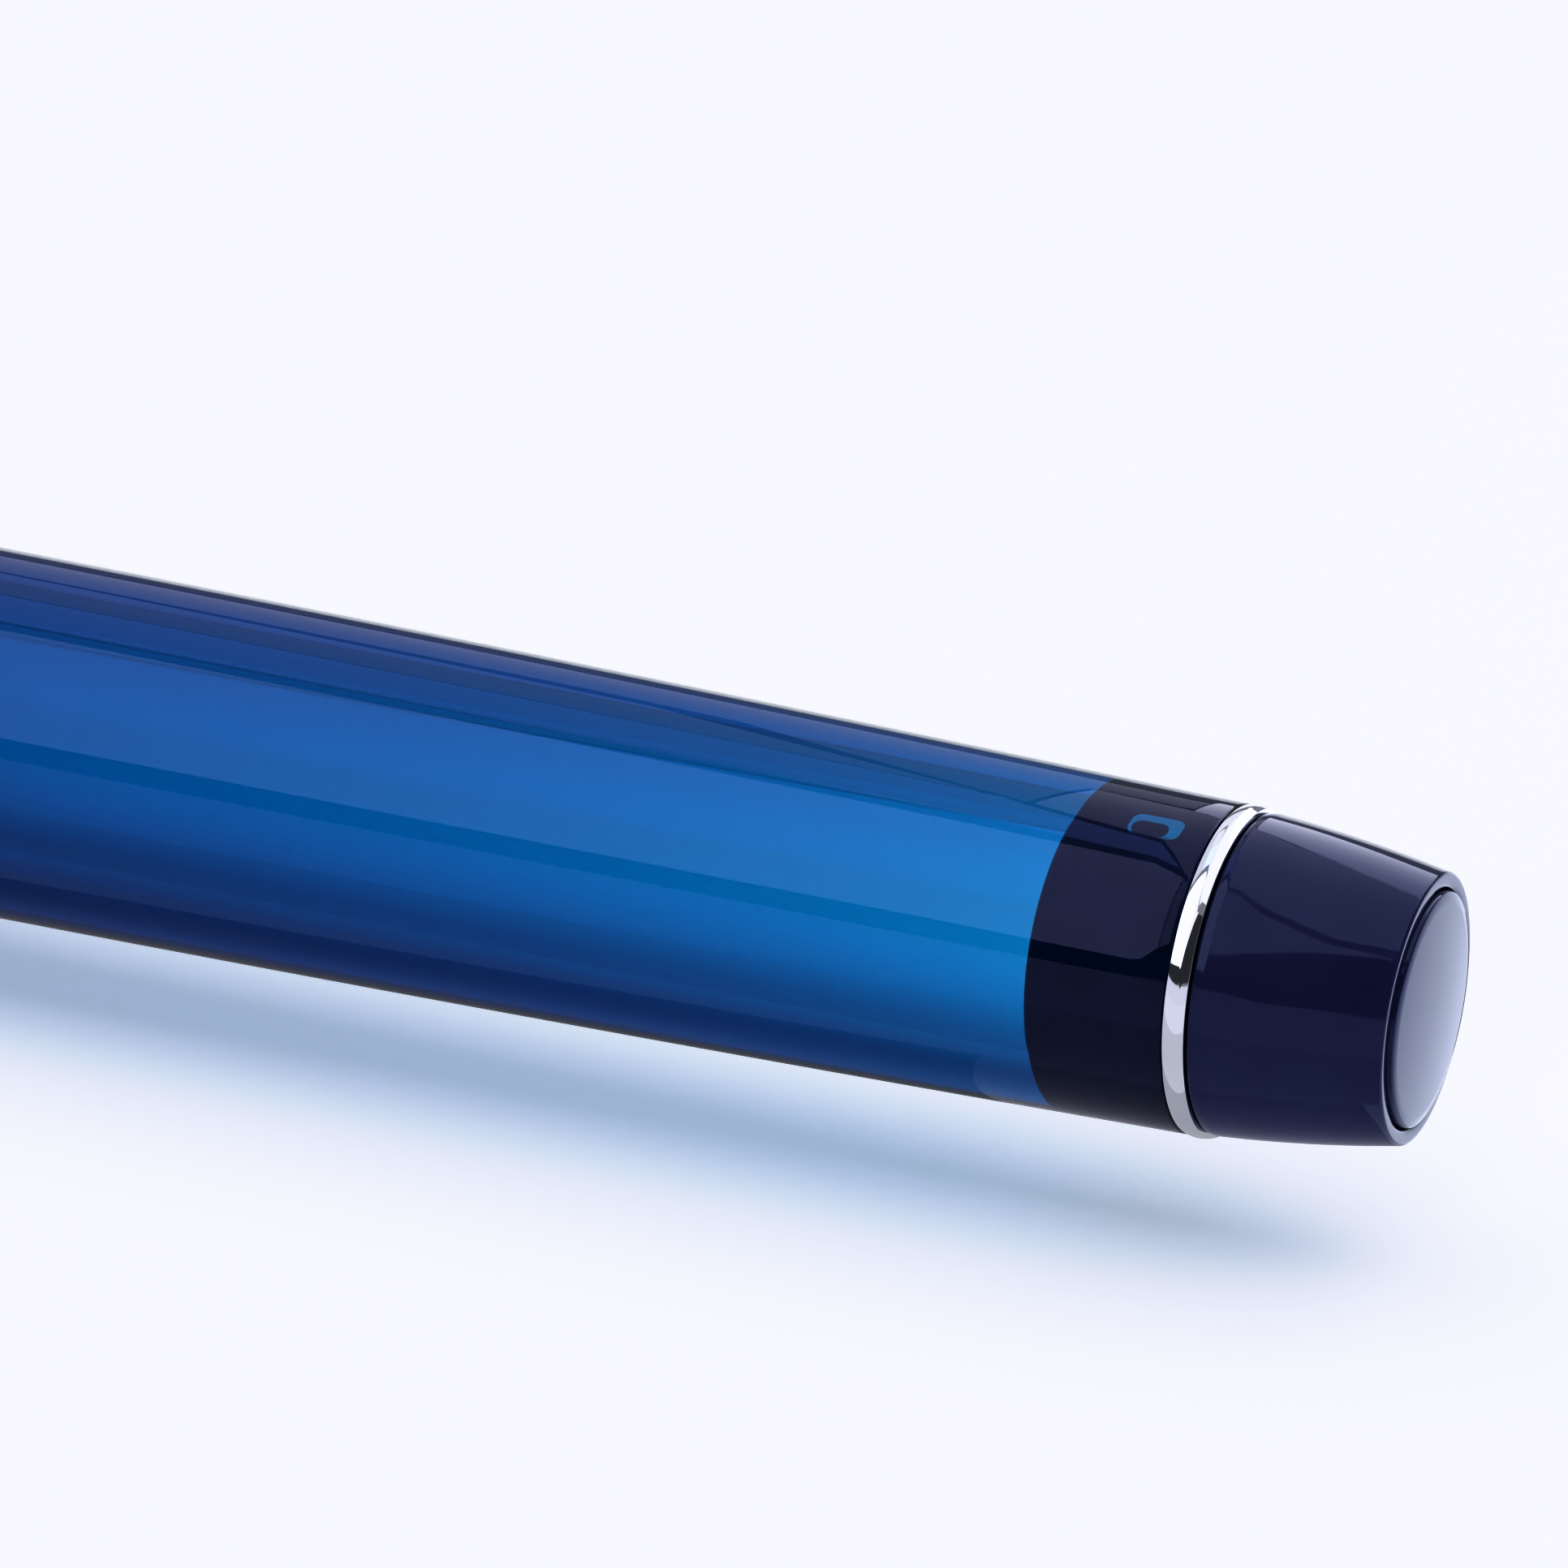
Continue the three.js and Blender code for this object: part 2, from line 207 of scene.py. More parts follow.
def revolved(name, profile, sides=SIDES):
    """A closed mesh turned from a profile about the pen's axis."""
    form = bmesh.new()
    rows = []
    for x, radius in profile:
        if radius < AXIS_POINT:
            rows.append([form.verts.new((x, 0, 0))] * sides)
            continue
        turns = [2 * math.pi * side / sides for side in range(sides)]
        rows.append([form.verts.new((x, radius * math.cos(t), radius * math.sin(t))) for t in turns])
    if is_ring(profile):
        rows.append(rows[0])
    for row, following in zip(rows, rows[1:]):
        for side in range(sides):
            other = (side + 1) % sides
            corners = dict.fromkeys((row[side], row[other], following[other], following[side]))
            if len(corners) > 2:
                form.faces.new(list(corners))
    bmesh.ops.recalc_face_normals(form, faces=form.faces)
    return smooth(mesh_of(form, name))


def weigh_normals(piece):
    """Flat faces keep flat shading beside the rounded edges."""
    modifier = piece.modifiers.new("weighted_normals", "WEIGHTED_NORMAL")
    modifier.keep_sharp = True


def turned(node, material, radius=0.08 * MM, sides=SIDES):
    """The fine form of a turned CAD node: its own section with every edge eased."""
    weigh_normals(turned_to(node, material, eased(refined(meridian(node)), radius), sides))


def turned_to(node, material, profile, sides=SIDES):
    """A fine form turned from a profile of its own, with its curves shaded smooth."""
    return show(node + "_fine", revolved(node + "_fine", profile, sides), material, body_of[node], node)


def ball(node, material, segments=48):
    """The fine form of a CAD ball."""
    low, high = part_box(node)
    form = bmesh.new()
    bmesh.ops.create_uvsphere(form, u_segments=segments, v_segments=segments // 2, radius=(high - low).x / 2)
    bmesh.ops.translate(form, verts=form.verts, vec=(low + high) / 2)
    show(node + "_fine", smooth(mesh_of(form, node + "_fine")), material, body_of[node], node)


def apply_modifiers(piece):
    depsgraph = bpy.context.evaluated_depsgraph_get()
    evaluated = piece.evaluated_get(depsgraph)
    mesh = bpy.data.meshes.new_from_object(evaluated, depsgraph=depsgraph)
    piece.modifiers.clear()
    piece.data = mesh


def combine(piece, tool, operation):
    """Joins a tool to the piece or cuts it out, and removes the tool."""
    modifier = piece.modifiers.new("combine", "BOOLEAN")
    modifier.object = tool
    modifier.operation = operation
    modifier.solver = "EXACT"
    bpy.context.view_layer.update()
    apply_modifiers(piece)
    bpy.data.objects.remove(tool)
    smooth(piece.data)
    return piece


def rounded_block(name, along, across, depth, corner, centre, steps=6):
    """A block with rounded corners in plan that stands along Z, as a loose object to cut or join with."""
    form = bmesh.new()
    outline = []
    for quarter, (sx, sy) in enumerate(((1, 1), (-1, 1), (-1, -1), (1, -1))):
        for step in range(steps + 1):
            turn = math.pi / 2 * (quarter + step / steps)
            x = sx * (along / 2 - corner) + corner * math.cos(turn)
            y = sy * (across / 2 - corner) + corner * math.sin(turn)
            outline.append(form.verts.new((x, y, -depth / 2)))
    base = form.faces.new(outline)
    raised = bmesh.ops.extrude_face_region(form, geom=[base])["geom"]
    top = [part for part in raised if isinstance(part, bmesh.types.BMVert)]
    bmesh.ops.translate(form, vec=(0, 0, depth), verts=top)
    bmesh.ops.translate(form, vec=centre, verts=form.verts)
    bmesh.ops.recalc_face_normals(form, faces=form.faces)
    return placed(name, mesh_of(form, name))


# ---- Materials ----
NAVY_GLOSS_TINT = (0.58, 0.7, 1.0, 1)
BARREL_GLOSS_TINT = (0.66, 0.64, 1.0, 1)
BARREL_ABSORPTION = (1.6, 0.42, 0.22)            # red, green and blue, per millimetre
BORE_FACE = (4.6 * MM, 4.8 * MM)                 # the moulding waves fade out between these radii


class Graph:
    """A new material's nodes. Its textures are laid out in millimetres of the pen's own frame."""

    def __init__(self, name, **settings):
        self.material = bpy.data.materials.new(name)
        self.material.use_nodes = True
        self.nodes = self.material.node_tree.nodes
        self.links = self.material.node_tree.links
        self.shader = self.nodes["Principled BSDF"]
        for socket, value in settings.items():
            self.shader.inputs[socket.replace("_", " ")].default_value = value
        self.place = self.nodes.new("ShaderNodeTexCoord").outputs["Object"]

    def feed(self, socket, value):
        """Links the socket if the value is another node's output, and otherwise sets it."""
        if isinstance(value, bpy.types.NodeSocket):
            self.links.new(value, socket)
        else:
            socket.default_value = value

    def node(self, kind, settings=None, **inputs):
        made = self.nodes.new(kind)
        for name, value in (settings or {}).items():
            setattr(made, name, value)
        for name, value in inputs.items():
            self.feed(made.inputs[name.replace("_", " ")], value)
        return made

    def maths(self, kind, operation, *inputs):
        """A maths node with its inputs in order."""
        made = self.node(kind, {"operation": operation})
        for socket, value in zip(made.inputs, inputs):
            self.feed(socket, value)
        return made

    def noise(self, size, stretch=(1, 1, 1), detail=3.0):
        """Noise whose features measure size millimetres, drawn out by stretch along X, Y and Z."""
        scale = [1 / (size * MM * factor) for factor in stretch]
        mapped = self.node("ShaderNodeMapping", Vector=self.place, Scale=scale)
        noise = self.node("ShaderNodeTexNoise", Vector=mapped.outputs[0], Scale=1.0, Detail=detail)
        return noise.outputs["Fac"]

    def remap(self, value, low, high, start=0.3, end=0.7):
        """The value with its range from start to end stretched to run from low to high."""
        return self.node(
            "ShaderNodeMapRange", Value=value, From_Min=start, From_Max=end, To_Min=low, To_Max=high,
        ).outputs[0]

    def blend(self, factor, first, second):
        """The first colour where the factor is 0 and the second where it is 1."""
        mixed = self.node("ShaderNodeMix", {"data_type": "RGBA"})
        self.feed(mixed.inputs[0], factor)
        for socket, value in ((mixed.inputs[6], first), (mixed.inputs[7], second)):
            self.feed(socket, value if isinstance(value, bpy.types.NodeSocket) else (*value, 1))
        return mixed.outputs[2]

    def colour(self, factor, first, second):
        self.links.new(self.blend(factor, first, second), self.shader.inputs["Base Color"])

    def rough(self, socket):
        self.links.new(socket, self.shader.inputs["Roughness"])

    def bump(self, height, distance, below=None):
        """Adds relief of this depth in millimetres, over an earlier relief if one is given."""
        made = self.node("ShaderNodeBump", Height=height, Distance=distance * MM, Strength=1.0)
        if below:
            self.links.new(below, made.inputs["Normal"])
        self.links.new(made.outputs[0], self.shader.inputs["Normal"])
        return made.outputs[0]

    def specks(self, spacing, size):
        """1 on sparse dust specks about size millimetres across, and 0 elsewhere."""
        scale = 1 / (spacing * MM)
        cells = self.node("ShaderNodeTexVoronoi", Vector=self.place, Scale=scale, Randomness=1.0)
        edge = size / spacing / 2
        return self.node(
            "ShaderNodeMapRange", Value=cells.outputs["Distance"], From_Min=edge, From_Max=edge * 0.6,
            To_Min=0.0, To_Max=1.0,
        ).outputs[0]


def navy_plastic():
    """Opaque navy plastic, polished: faint swirls in the colour, hairline scratches and a little dust."""
    graph = Graph("navy_plastic", Roughness=0.05, IOR=1.49)
    graph.shader.inputs["Specular Tint"].default_value = NAVY_GLOSS_TINT
    swirl = graph.remap(graph.noise(4.0, detail=4.0), 0.0, 1.0)
    body = graph.blend(swirl, (0.018, 0.022, 0.085), (0.025, 0.029, 0.102))
    graph.colour(graph.specks(2.3, 0.05), body, (0.32, 0.34, 0.42))
    hairs = graph.noise(0.05, stretch=(30, 1, 1), detail=2.0)
    graph.rough(graph.remap(hairs, 0.03, 0.075))
    graph.bump(graph.noise(1.6, detail=2.0), 0.0006, graph.bump(hairs, 0.00004))
    return graph.material


def insert_plastic():
    """The same plastic where it touches the clear barrel with no air between, so without a gloss."""
    graph = Graph("insert_plastic", Roughness=0.6, Specular_IOR_Level=0.0)
    cloud = graph.remap(graph.noise(1.5, detail=4.0), 0.0, 1.0)
    graph.colour(cloud, (0.09, 0.054, 0.125), (0.125, 0.072, 0.16))
    graph.bump(graph.noise(0.4), 0.002)
    return graph.material


def tinted(graph, per_mm):
    """Fills a clear material with a plain absorption, given for red, green and blue per millimetre."""
    headroom = 1.02                              # keeps every channel of the colour above 0
    density = max(per_mm) * headroom / MM
    colour = [1 - share / MM / density for share in per_mm]
    volume = graph.node("ShaderNodeVolumeAbsorption", Color=(*colour, 1), Density=density)
    graph.links.new(volume.outputs[0], graph.nodes["Material Output"].inputs["Volume"])


def clear_plastic():
    """Clear blue-tinted plastic. The moulded bore has faint long waves, and the polished outside fewer."""
    graph = Graph("clear_barrel", Roughness=0.0, IOR=1.49, Transmission_Weight=1.0)
    graph.shader.inputs["Base Color"].default_value = (1, 1, 1, 1)
    graph.shader.inputs["Specular Tint"].default_value = BARREL_GLOSS_TINT
    long_waves = graph.noise(2.0, stretch=(40, 1, 1), detail=1.0)
    across = graph.maths("ShaderNodeVectorMath", "MULTIPLY", graph.place, (0, 1, 1)).outputs[0]
    reach = graph.maths("ShaderNodeVectorMath", "LENGTH", across).outputs["Value"]
    moulded_face = graph.remap(reach, 1.0, 0.1, *BORE_FACE)
    waves = graph.maths("ShaderNodeMath", "MULTIPLY", long_waves, moulded_face)
    graph.bump(waves.outputs[0], 0.0002)
    tinted(graph, BARREL_ABSORPTION)
    return graph.material


def bright_metal(name, colour, roughness, lines=0.0):
    """Plated or turned metal: tiny waves in the plate, hairlines round the axis and a slight haze."""
    graph = Graph(name, Metallic=1.0)
    haze = graph.remap(graph.noise(2.0, detail=4.0), 0.0, 1.0)
    graph.colour(haze, colour, [channel * 0.94 for channel in colour])
    graph.rough(graph.remap(graph.noise(0.3), roughness, roughness * 1.8))
    turning = graph.noise(0.04, stretch=(1, 400, 400), detail=2.0)
    graph.bump(graph.noise(0.9), 0.0008, graph.bump(turning, lines))
    return graph.material


def moulded(name, colour, roughness, grain=0.004):
    """Satin or matte moulded plastic or rubber with a fine grain."""
    graph = Graph(name, IOR=1.49)
    patches = graph.remap(graph.noise(1.8, detail=4.0), 0.0, 1.0)
    graph.colour(patches, colour, [channel * 1.35 + 0.001 for channel in colour])
    grains = graph.noise(0.12, detail=3.0)
    graph.rough(graph.remap(grains, roughness * 0.85, roughness * 1.15))
    graph.bump(grains, grain)
    return graph.material


def fibre():
    """Bonded fibres along the wick, soaked with ink."""
    graph = Graph("wick_fibre", IOR=1.4)
    strands = graph.noise(0.06, stretch=(40, 1, 1), detail=4.0)
    graph.colour(graph.remap(strands, 0.0, 1.0), (0.02, 0.035, 0.22), (0.11, 0.15, 0.5))
    graph.rough(graph.remap(strands, 0.7, 0.95))
    graph.bump(strands, 0.02)
    return graph.material


def cartridge_plastic():
    """Cloudy natural polyethylene, with flow lines along the moulding."""
    graph = Graph("cartridge_plastic", IOR=1.51, Transmission_Weight=0.85)
    flow = graph.noise(0.8, stretch=(10, 1, 1), detail=3.0)
    graph.colour(graph.remap(flow, 0.0, 1.0), (0.86, 0.9, 0.93), (0.78, 0.84, 0.9))
    graph.rough(graph.remap(graph.noise(0.4), 0.1, 0.16))
    graph.bump(flow, 0.004)
    return graph.material


def writing_ink():
    """Dark blue ink with a wet face."""
    graph = Graph("writing_ink", IOR=1.35, Coat_Weight=0.4)
    graph.colour(graph.remap(graph.noise(3.0), 0.0, 1.0), (0.003, 0.008, 0.1), (0.006, 0.016, 0.17))
    graph.rough(graph.remap(graph.noise(1.0), 0.04, 0.09))
    graph.bump(graph.noise(2.5), 0.01)
    return graph.material


navy = navy_plastic()
insert = insert_plastic()
chrome = bright_metal("bright_trim", (0.86, 0.865, 0.9), 0.035)
steel = bright_metal("turned_steel", (0.6, 0.61, 0.63), 0.22, 0.001)
brass = bright_metal("turned_brass", (0.72, 0.53, 0.24), 0.2, 0.001)
carbide = bright_metal("polished_carbide", (0.3, 0.31, 0.33), 0.1)
grip = moulded("grip_plastic", (0.010, 0.012, 0.026), 0.28, 0.002)
feed = moulded("feed_plastic", (0.012, 0.012, 0.014), 0.5)
liner = moulded("liner_plastic", (0.1, 0.105, 0.12), 0.5)
rubber = moulded("seal_rubber", (0.014, 0.014, 0.015), 0.75, 0.008)
wick = fibre()
cloudy = cartridge_plastic()
ink = writing_ink()


# ---- Barrel and tail ----
SLEEVE_EDGE = 0.12 * MM
SEAM = 0.02 * MM                   # half the step from the sleeve's plug to its flange
WINDOW_CORNER = 0.33 * MM
RIM_EDGE = 0.16 * MM
RING_CROWN = 0.08 * MM
RING_EDGE = 0.03 * MM
LUG_SHARE = Vector((0.7, 0.64))    # a snap lug's length and width over its window's
LUG_AHEAD = 0.13 * MM              # how far it lies off its window's middle, forwards and sideways
LUG_ASIDE = 0.16 * MM
LUG_DEPTH = 1.6 * MM               # from the sleeve's outer face down
LUG_CORNER = 0.3 * MM
LUG_RISE = 0.1 * MM                # a face this far above the cone's tenon belongs to a lug
SKIN_SHARE = 0.999                 # a point beyond this share of a piece's radius is on its outer face
DOME_DEPTH = 0.15 * MM             # the button's dome, out to where its edge starts to turn over
DOME_INSET = 0.1 * MM
BUTTON_TOP = 1 * MM                # below this depth the button keeps the frame's own section


def bore_radius_at(x):
    """The barrel's bore, read off the straight stretch that runs the length of the clear tube."""
    (x0, r0), (x1, r1) = bore_line
    return r0 + (r1 - r0) * (x - x0) / (x1 - x0)


barrel_profile = meridian("barrel_tube")
tail_x = max(x for x, radius in barrel_profile)
bore_start = min((p for p in barrel_profile if p[0] == tail_x), key=lambda p: p[1])
bore_end = min((p for p in barrel_profile if p != bore_start), key=lambda p: p[1])
bore_line = (bore_start, bore_end)


def windows_of(node):
    """The size, as length and width, and the middle of the openings cut above and below the axis."""
    low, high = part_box(node)
    skin = high.y * SKIN_SHARE
    cut = [
        v.co for v in nodes[node].data.vertices
        if low.x + AXIS_POINT < v.co.x < high.x - AXIS_POINT and math.hypot(*v.co.yz) < skin
    ]
    xs = [co.x for co in cut]
    ys = [co.y for co in cut]
    return Vector((max(xs) - min(xs), max(ys) - min(ys))), (max(xs) + min(xs)) / 2


def build_tail():
    window, middle = windows_of("tail_sleeve")
    build_sleeve(window, middle)
    build_cone(window, middle)
    build_ring()
    build_button()
    turned("barrel_bush", brass, 0.06 * MM)


def build_sleeve(window, middle):
    """The sleeve, pressed against the clear bore, with its two windows."""
    low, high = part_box("tail_sleeve")
    inner = min(math.hypot(*v.co.yz) for v in nodes["tail_sleeve"].data.vertices)
    touching = [
        (low.x, inner), (low.x, bore_radius_at(low.x) + CONTACT),
        (tail_x - SEAM, bore_radius_at(tail_x) + CONTACT), (tail_x + SEAM, high.y),
        (high.x, high.y), (high.x, inner),
    ]
    sleeve = turned_to("tail_sleeve", insert, eased(touching, SLEEVE_EDGE))
    opening = rounded_block("window", window.x, window.y, 4 * high.y, WINDOW_CORNER, (middle, 0, 0))
    combine(sleeve, opening, "DIFFERENCE")


def build_ring():
    """The tail ring with a slight crown to its band."""
    low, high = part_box("tail_ring")
    inner = min(radius for x, radius in meridian("tail_ring"))
    shoulder = high.y - RING_CROWN
    band = arc_between((high.x, shoulder), (low.x, shoulder), RING_CROWN)
    turned_to("tail_ring", chrome, eased([(high.x, inner), *band, (low.x, inner)], RING_EDGE, 3))


def build_cone(window, middle):
    """The tail cone with its curve refined, and a dull snap lug pressed against the bore in each window."""
    cone = turned_to("tail_cone", navy, eased(refined(meridian("tail_cone")), RIM_EDGE))
    sleeve_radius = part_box("tail_sleeve")[1].y
    along, across = window.x * LUG_SHARE.x, window.y * LUG_SHARE.y
    ends = (middle - window.x, middle + window.x)
    bore = [(x, bore_radius_at(x) + CONTACT) for x in ends]
    for side in (1, -1):
        centre = (middle - LUG_AHEAD, -side * LUG_ASIDE, side * (sleeve_radius - LUG_DEPTH / 2))
        lug = rounded_block("lug", along, across, 2 * LUG_DEPTH, LUG_CORNER, centre)
        inside = placed("bore", revolved("bore", [(ends[0], 0), *bore, (ends[1], 0)]))
        combine(cone, combine(lug, inside, "INTERSECT"), "UNION")
    cone.data.materials.append(insert)
    tenon = min(
        math.hypot(*v.co.yz) for v in nodes["tail_cone"].data.vertices if abs(v.co.x - middle) < window.x
    )
    for polygon in cone.data.polygons:
        near_window = abs(polygon.center.x - middle) < window.x
        if near_window and math.hypot(*polygon.center.yz) > tenon + LUG_RISE:
            polygon.material_index = 1
    weigh_normals(cone)


def build_button():
    """The disc in the tail, a shallow dome with a small edge radius over its side wall."""
    profile = meridian("tail_button")
    high = max(x for x, radius in profile)
    side = max(radius for x, radius in profile)
    steps = 12
    dome = [
        (high - DOME_DEPTH * (step / steps) ** 2, (side - DOME_INSET) * step / steps)
        for step in range(steps + 1)
    ]
    dome.append((high - 4 / 3 * DOME_DEPTH, side - DOME_INSET / 4))
    dome.append((high - 9 / 5 * DOME_DEPTH, side))
    rest = [point for point in profile if point[0] < high - BUTTON_TOP]
    rest.sort(key=lambda point: (-point[1], -point[0]))
    turned_to("tail_button", navy, dome + rest)


# ---- Section, cartridge and cap ----
def build_section():
    turned("section_grip", grip, 0.12 * MM)
    turned("section_o_ring", rubber, 0.15 * MM)
    turned("nose_cone", chrome, 0.15 * MM)
    for node, material in (
        ("feed_comb", feed), ("ink_wick", wick), ("cartridge_spigot", feed), ("ball_tip", steel),
    ):
        turned(node, material, 0.05 * MM, FINE_SIDES)
    ball("writing_ball", carbide)


def build_cartridge():
    turned("cartridge_shell", cloudy, 0.25 * MM)
    turned("cartridge_ink", ink, 0.3 * MM)
    ball("cartridge_stopper_ball", steel)


def build_cap():
    for node, material, radius in (
        ("cap_body", navy, 0.12), ("cap_lip_ring", chrome, 0.2), ("cap_band", chrome, 0.08),
        ("cap_liner", liner, 0.15), ("cap_snap_ring", steel, 0.08), ("tip_seal_pad", rubber, 0.2),
        ("clip_ring", chrome, 0.15), ("crown_screw", steel, 0.12), ("cap_crown", navy, 0.1),
        ("crown_button", navy, 0.2),
    ):
        turned(node, material, radius * MM)
    build_clip_arm()
    ball("clip_ball", chrome)


def build_clip_arm():
    """The pressed strip of the clip with its edges rolled over."""
    form = bmesh.new()
    form.from_mesh(nodes["clip_arm"].data)
    bmesh.ops.remove_doubles(form, verts=form.verts, dist=AXIS_POINT)
    bmesh.ops.dissolve_limit(form, angle_limit=math.radians(0.5), verts=form.verts, edges=form.edges)
    corners = [edge for edge in form.edges if edge.calc_face_angle(0) > math.radians(30)]
    bmesh.ops.bevel(
        form, geom=corners, offset=0.28 * MM, segments=5, profile=0.5, affect="EDGES", clamp_overlap=True,
    )
    mesh = smooth(mesh_of(form, "clip_arm_fine"))
    weigh_normals(show("clip_arm_fine", mesh, chrome, body_of["clip_arm"], "clip_arm"))


turned("barrel_tube", clear_plastic(), 0.1 * MM)
build_tail()
build_section()
build_cartridge()
build_cap()


# ---- Camera ----
VIEW_AZIMUTH = math.radians(24.4)
VIEW_ELEVATION = math.radians(24.32)
VIEW_DISTANCE = 183.94 * MM
FOCAL_LENGTH = 130.4
SENSOR_WIDTH = 36
AIM_LEFT = 14.13 * MM              # the view's middle lies this far left of the tail ring's middle, and
AIM_UP = 6.0 * MM                  # this far above it


def build_camera():
    ahead = Vector((-math.sin(VIEW_AZIMUTH), math.cos(VIEW_AZIMUTH), 0))
    right = Vector((math.cos(VIEW_AZIMUTH), math.sin(VIEW_AZIMUTH), 0))
    up = Vector((0, 0, 1))
    sight = ahead * math.cos(VIEW_ELEVATION) - up * math.sin(VIEW_ELEVATION)
    raised = ahead * math.sin(VIEW_ELEVATION) + up * math.cos(VIEW_ELEVATION)
    ring = Vector((tail_x, 0, 0))
    spot = ring - right * AIM_LEFT + raised * AIM_UP - sight * VIEW_DISTANCE
    data = bpy.data.cameras.new("camera")
    data.sensor_width = SENSOR_WIDTH
    data.lens = FOCAL_LENGTH
    data.clip_start = 0.01
    data.clip_end = 20
    camera = placed("camera", data)
    turn = Matrix((right, raised, -sight)).transposed()
    camera.matrix_world = Matrix.Translation(spot) @ turn.to_4x4()
    bpy.context.scene.camera = camera


# ---- Floor, lamp and reflection cards ----
FLOOR_SIZE = 16.0
FLOOR_GAP = 2.2 * MM               # the pen floats this far above the floor, which sets its shadow off
FLOOR_Z = cad_box[0].z - FLOOR_GAP
FLOOR_GLOW = 0.55                  # the floor is a light table, lit from below as well
CARD_WHITE = (0.88, 0.9, 1.0)
CARD_DISTANCE = 0.6
NEARER = 0.59                      # for the cards that stand in front of others
ROOM_DISTANCE = 2.5
ROOM_ENDS = (-3, 3)
CARD_LIFT = 0.3 * MM               # the floor cards lie this far above the floor


def build_floor():
    half = FLOOR_SIZE / 2
    corners = ((-half, -half), (half, -half), (half, half), (-half, half))
    mesh = bpy.data.meshes.new("floor")
    mesh.from_pydata([(x, y, FLOOR_Z) for x, y in corners], [], [(0, 1, 2, 3)])
    floor = placed("floor", mesh)
    graph = Graph("floor", Roughness=0.7, Specular_IOR_Level=0.2, Emission_Strength=FLOOR_GLOW)
    graph.shader.inputs["Emission Color"].default_value = (0.74, 0.855, 1.0, 1)
    graph.colour(graph.noise(60.0), (0.9, 0.905, 0.93), (0.93, 0.935, 0.955))
    floor.data.materials.append(graph.material)


def around(distance, angle):
    """(y, z) at a distance from the pen's axis; angle is from straight ahead, -Y, up over the top."""
    turn = math.radians(angle)
    return -distance * math.cos(turn), distance * math.sin(turn)


def glow_mesh(name, points, faces, radiance, colour=CARD_WHITE, gloss=True, seen_through=False):
    """A shining sheet that lights nothing. It shows in gloss, or directly and through clear plastic."""
    mesh = bpy.data.meshes.new(name)
    mesh.from_pydata(points, [], faces)
    material = bpy.data.materials.new(name)
    material.use_nodes = True
    tree = material.node_tree
    tree.nodes.remove(tree.nodes["Principled BSDF"])
    glow = tree.nodes.new("ShaderNodeEmission")
    glow.inputs["Color"].default_value = (*colour, 1)
    glow.inputs["Strength"].default_value = radiance
    tree.links.new(glow.outputs[0], tree.nodes["Material Output"].inputs["Surface"])
    mesh.materials.append(material)
    made = placed(name, mesh)
    made.visible_camera = seen_through
    made.visible_diffuse = False
    made.visible_glossy = gloss
    made.visible_transmission = seen_through
    made.visible_shadow = False


def card(name, radiance, stations, distance=CARD_DISTANCE, **look):
    """A reflection card round the pen. Each station is (x, first angle, last angle), from left to right."""
    steps = 12
    points = [
        (x, *around(distance, start + (end - start) * step / steps))
        for x, start, end in stations for step in range(steps + 1)
    ]
    row = steps + 1
    faces = [
        (first + step, first + step + 1, first + row + step + 1, first + row + step)
        for first in range(0, row * (len(stations) - 1), row) for step in range(steps)
    ]
    glow_mesh(name, points, faces, radiance, **look)


def floor_card(name, radiance, across, deep, colour=CARD_WHITE):
    """A card just over the floor, between two x and two y, for what gloss sees of the floor there."""
    (left, right), (near, far) = across, deep
    plan = ((left, near), (right, near), (right, far), (left, far))
    glow_mesh(name, [(x, y, FLOOR_Z + CARD_LIFT) for x, y in plan], [(0, 1, 2, 3)], radiance, colour)


def lamp(name, spot, aim, width, height, radiance, colour):
    """A soft rectangular lamp that lights the scene; the cards stand for it in the reflections."""
    light = bpy.data.lights.new(name, "AREA")
    light.shape = "RECTANGLE"
    light.size = width
    light.size_y = height
    light.energy = radiance * math.pi * width * height
    light.color = colour
    made = placed(name, light)
    made.location = spot
    made.rotation_euler = (Vector(aim) - Vector(spot)).to_track_quat("-Z", "Y").to_euler()
    made.visible_glossy = False


